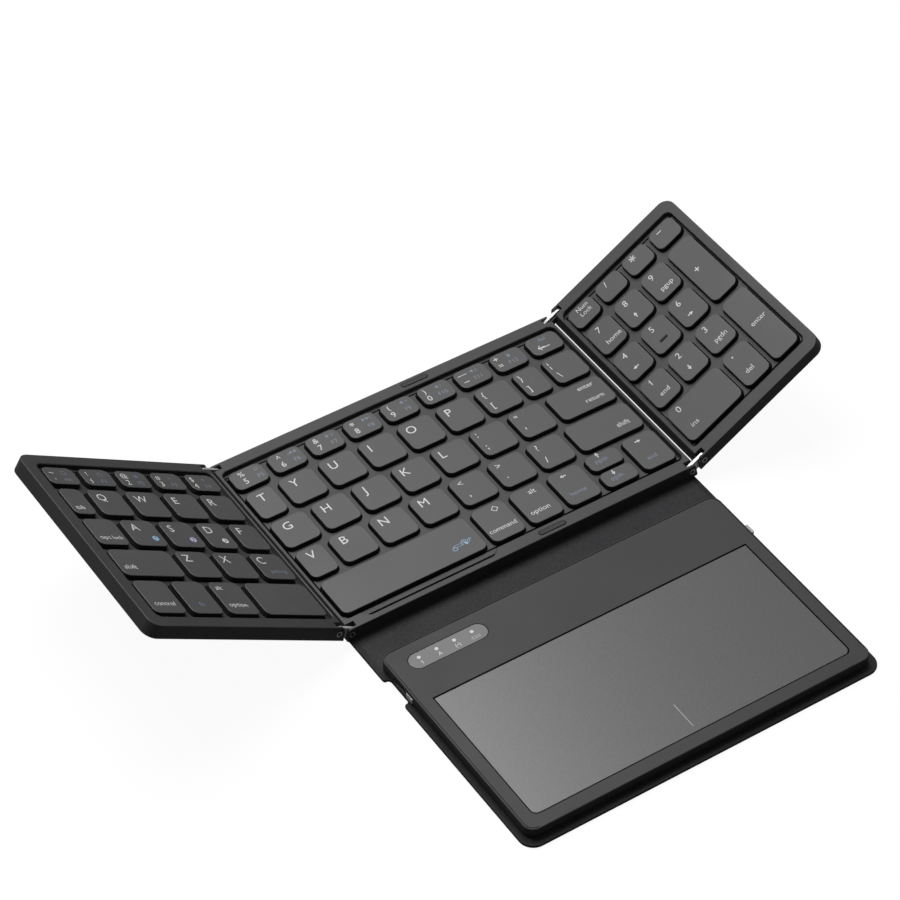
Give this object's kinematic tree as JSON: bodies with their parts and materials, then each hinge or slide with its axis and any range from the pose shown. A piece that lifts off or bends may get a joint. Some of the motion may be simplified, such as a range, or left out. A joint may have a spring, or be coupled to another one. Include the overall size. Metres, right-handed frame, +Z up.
{
  "type": "folding keyboard",
  "caption": "Compact folding keyboard with number pad wing, hinged panels and a touchpad on a fold-over leather cover",
  "frame": {"origin": "on the floor, at the underside of the base leather, under the middle of the centre panel", "axes": "X to the right along the rows of keys, Y away from the typist, Z up; the cover with the touchpad lies towards -Y"},
  "size_m": [0.2996, 0.219, 0.0574],
  "materials": {
    "casing_plastic": "fine matt texture",
    "bottom_plate_metal": "matt paint",
    "screw_steel": "plain",
    "hinge_screw_black": "black oxide",
    "link_steel": "satin",
    "black_rubber": "matt",
    "key_plastic": "fine matt texture with printed legends",
    "membrane_film": "clear film",
    "dome_rubber": "silicone",
    "cover_leather": "fine pebble grain",
    "ribbon_film": "polyimide film",
    "touch_glass": "satin coated glass, opaque",
    "circuit_board": "solder mask",
    "switch_metal": "stamped",
    "cell_foil": "foil pouch",
    "light_plastic": "translucent white",
    "switch_plastic": "moulded",
    "window_plastic": "satin"
  },
  "bodies": {
    "centre_panel": {"centre_frame": "casing_plastic", "centre_bottom_plate": "bottom_plate_metal", "centre_plate_screws": "screw_steel", "centre_membrane": "membrane_film", "centre_domes": "dome_rubber", "centre_hinge_screws": "hinge_screw_black", "closing_bumpers": "black_rubber", "base_leather": "cover_leather"},
    "left_link_pair": {"left_links": "link_steel", "left_wire_sleeves": "black_rubber"},
    "right_link_pair": {"right_links": "link_steel", "right_wire_sleeves": "black_rubber"},
    "left_wing": {"left_frame": "casing_plastic", "left_bottom_plate": "bottom_plate_metal", "left_plate_screws": "screw_steel", "left_membrane": "membrane_film", "left_domes": "dome_rubber", "left_hinge_screws": "hinge_screw_black"},
    "right_wing": {"right_frame": "casing_plastic", "right_bottom_plate": "bottom_plate_metal", "right_plate_screws": "screw_steel", "right_membrane": "membrane_film", "right_domes": "dome_rubber", "right_hinge_screws": "hinge_screw_black"},
    "spine": {"spine_leather": "cover_leather", "spine_ribbon": "ribbon_film"},
    "touchpad_cover": {"cover_leather": "cover_leather", "pad_bottom_case": "casing_plastic", "pad_top_frame": "casing_plastic", "click_switch": "switch_metal", "main_board": "circuit_board", "battery": "cell_foil", "usb_port": "switch_metal", "charge_light": "light_plastic", "indicator_window": "window_plastic", "indicator_leds": "light_plastic", "case_screws": "screw_steel"},
    "touch_surface": {"touch_glass": "touch_glass", "touch_board": "circuit_board"},
    "power_slider": {"power_switch": "switch_plastic"},
    "left_number_keys": {"left_number_keys": "key_plastic"},
    "left_qwer_keys": {"left_qwer_keys": "key_plastic"},
    "left_asdf_keys": {"left_asdf_keys": "key_plastic"},
    "left_zxc_keys": {"left_zxc_keys": "key_plastic"},
    "left_space_key": {"left_space_key": "key_plastic"},
    "left_modifier_keys": {"left_modifier_keys": "key_plastic"},
    "number_keys": {"number_keys": "key_plastic"},
    "y_row_keys": {"y_row_keys": "key_plastic"},
    "h_row_keys": {"h_row_keys": "key_plastic"},
    "enter_key": {"enter_key": "key_plastic"},
    "n_row_keys": {"n_row_keys": "key_plastic"},
    "right_shift_key": {"right_shift_key": "key_plastic"},
    "space_key": {"space_key": "key_plastic"},
    "centre_modifier_keys": {"centre_modifier_keys": "key_plastic"},
    "arrow_keys": {"arrow_keys": "key_plastic"},
    "numpad_top_keys": {"numpad_top_keys": "key_plastic"},
    "numpad_digit_keys": {"numpad_digit_keys": "key_plastic"},
    "plus_key": {"plus_key": "key_plastic"},
    "numpad_enter_key": {"numpad_enter_key": "key_plastic"},
    "zero_key": {"zero_key": "key_plastic"}
  },
  "joints": [
    {"name": "right_link_hinge", "type": "hinge", "parent": "centre_panel", "child": "right_link_pair", "pos_m": [0.0773, 0, 0.0042], "axis": [0, -1, 0], "range_deg": [-31.7, 58.3]},
    {"name": "right_wing_hinge", "type": "hinge", "parent": "right_link_pair", "child": "right_wing", "pos_m": [0.08283, 0, 0.00762], "axis": [0, -1, 0], "range_deg": [0, 90]},
    {"name": "left_link_hinge", "type": "hinge", "parent": "centre_panel", "child": "left_link_pair", "pos_m": [-0.0773, 0, 0.0042], "axis": [0, 1, 0], "range_deg": [-31.7, 58.3]},
    {"name": "left_wing_hinge", "type": "hinge", "parent": "left_link_pair", "child": "left_wing", "pos_m": [-0.08283, 0, 0.00762], "axis": [0, 1, 0], "range_deg": [0, 90]},
    {"name": "spine_fold", "type": "hinge", "parent": "centre_panel", "child": "spine", "pos_m": [0, -0.0504, 0.0019], "axis": [-1, 0, 0], "range_deg": [0, 90]},
    {"name": "cover_fold", "type": "hinge", "parent": "spine", "child": "touchpad_cover", "pos_m": [0, -0.0667, 0.0019], "axis": [-1, 0, 0], "range_deg": [0, 90]},
    {"name": "touchpad_click", "type": "hinge", "parent": "touchpad_cover", "child": "touch_surface", "pos_m": [0, -0.0943, 0.00475], "axis": [1, 0, 0], "range_deg": [0, 0.35], "stiffness_Nm_per_rad": 3, "springref_deg": -17.19},
    {"name": "power_slide", "type": "slide", "parent": "touchpad_cover", "child": "power_slider", "axis": [0, 1, 0], "range_m": [0, 0.002]},
    {"name": "left_number_press", "type": "slide", "parent": "left_wing", "child": "left_number_keys", "axis": [-0.5255, 0, -0.8508], "range_m": [0, 0.0012], "stiffness_N_per_m": 500, "springref_m": -0.0004, "deforming": ["left_domes"]},
    {"name": "left_qwer_press", "type": "slide", "parent": "left_wing", "child": "left_qwer_keys", "axis": [-0.5255, 0, -0.8508], "range_m": [0, 0.0012], "stiffness_N_per_m": 500, "springref_m": -0.0004, "deforming": ["left_domes"]},
    {"name": "left_asdf_press", "type": "slide", "parent": "left_wing", "child": "left_asdf_keys", "axis": [-0.5255, 0, -0.8508], "range_m": [0, 0.0012], "stiffness_N_per_m": 500, "springref_m": -0.0004, "deforming": ["left_domes"]},
    {"name": "left_zxc_press", "type": "slide", "parent": "left_wing", "child": "left_zxc_keys", "axis": [-0.5255, 0, -0.8508], "range_m": [0, 0.0012], "stiffness_N_per_m": 500, "springref_m": -0.0004, "deforming": ["left_domes"]},
    {"name": "left_space_press", "type": "slide", "parent": "left_wing", "child": "left_space_key", "axis": [-0.5255, 0, -0.8508], "range_m": [0, 0.0012], "stiffness_N_per_m": 500, "springref_m": -0.0004, "deforming": ["left_domes"]},
    {"name": "left_modifier_press", "type": "slide", "parent": "left_wing", "child": "left_modifier_keys", "axis": [-0.5255, 0, -0.8508], "range_m": [0, 0.0012], "stiffness_N_per_m": 500, "springref_m": -0.0004, "deforming": ["left_domes"]},
    {"name": "number_press", "type": "slide", "parent": "centre_panel", "child": "number_keys", "axis": [0, 0, -1], "range_m": [0, 0.0012], "stiffness_N_per_m": 500, "springref_m": -0.0004, "deforming": ["centre_domes"]},
    {"name": "y_row_press", "type": "slide", "parent": "centre_panel", "child": "y_row_keys", "axis": [0, 0, -1], "range_m": [0, 0.0012], "stiffness_N_per_m": 500, "springref_m": -0.0004, "deforming": ["centre_domes"]},
    {"name": "h_row_press", "type": "slide", "parent": "centre_panel", "child": "h_row_keys", "axis": [0, 0, -1], "range_m": [0, 0.0012], "stiffness_N_per_m": 500, "springref_m": -0.0004, "deforming": ["centre_domes"]},
    {"name": "enter_press", "type": "slide", "parent": "centre_panel", "child": "enter_key", "axis": [0, 0, -1], "range_m": [0, 0.0012], "stiffness_N_per_m": 500, "springref_m": -0.0004, "deforming": ["centre_domes"]},
    {"name": "n_row_press", "type": "slide", "parent": "centre_panel", "child": "n_row_keys", "axis": [0, 0, -1], "range_m": [0, 0.0012], "stiffness_N_per_m": 500, "springref_m": -0.0004, "deforming": ["centre_domes"]},
    {"name": "right_shift_press", "type": "slide", "parent": "centre_panel", "child": "right_shift_key", "axis": [0, 0, -1], "range_m": [0, 0.0012], "stiffness_N_per_m": 500, "springref_m": -0.0004, "deforming": ["centre_domes"]},
    {"name": "space_press", "type": "slide", "parent": "centre_panel", "child": "space_key", "axis": [0, 0, -1], "range_m": [0, 0.0012], "stiffness_N_per_m": 500, "springref_m": -0.0004, "deforming": ["centre_domes"]},
    {"name": "centre_modifier_press", "type": "slide", "parent": "centre_panel", "child": "centre_modifier_keys", "axis": [0, 0, -1], "range_m": [0, 0.0012], "stiffness_N_per_m": 500, "springref_m": -0.0004, "deforming": ["centre_domes"]},
    {"name": "arrow_press", "type": "slide", "parent": "centre_panel", "child": "arrow_keys", "axis": [0, 0, -1], "range_m": [0, 0.0012], "stiffness_N_per_m": 500, "springref_m": -0.0004, "deforming": ["centre_domes"]},
    {"name": "numpad_top_press", "type": "slide", "parent": "right_wing", "child": "numpad_top_keys", "axis": [0.5255, 0, -0.8508], "range_m": [0, 0.0012], "stiffness_N_per_m": 500, "springref_m": -0.0004, "deforming": ["right_domes"]},
    {"name": "numpad_digit_press", "type": "slide", "parent": "right_wing", "child": "numpad_digit_keys", "axis": [0.5255, 0, -0.8508], "range_m": [0, 0.0012], "stiffness_N_per_m": 500, "springref_m": -0.0004, "deforming": ["right_domes"]},
    {"name": "plus_press", "type": "slide", "parent": "right_wing", "child": "plus_key", "axis": [0.5255, 0, -0.8508], "range_m": [0, 0.0012], "stiffness_N_per_m": 500, "springref_m": -0.0004, "deforming": ["right_domes"]},
    {"name": "numpad_enter_press", "type": "slide", "parent": "right_wing", "child": "numpad_enter_key", "axis": [0.5255, 0, -0.8508], "range_m": [0, 0.0012], "stiffness_N_per_m": 500, "springref_m": -0.0004, "deforming": ["right_domes"]},
    {"name": "zero_press", "type": "slide", "parent": "right_wing", "child": "zero_key", "axis": [0.5255, 0, -0.8508], "range_m": [0, 0.0012], "stiffness_N_per_m": 500, "springref_m": -0.0004, "deforming": ["right_domes"]}
  ]
}
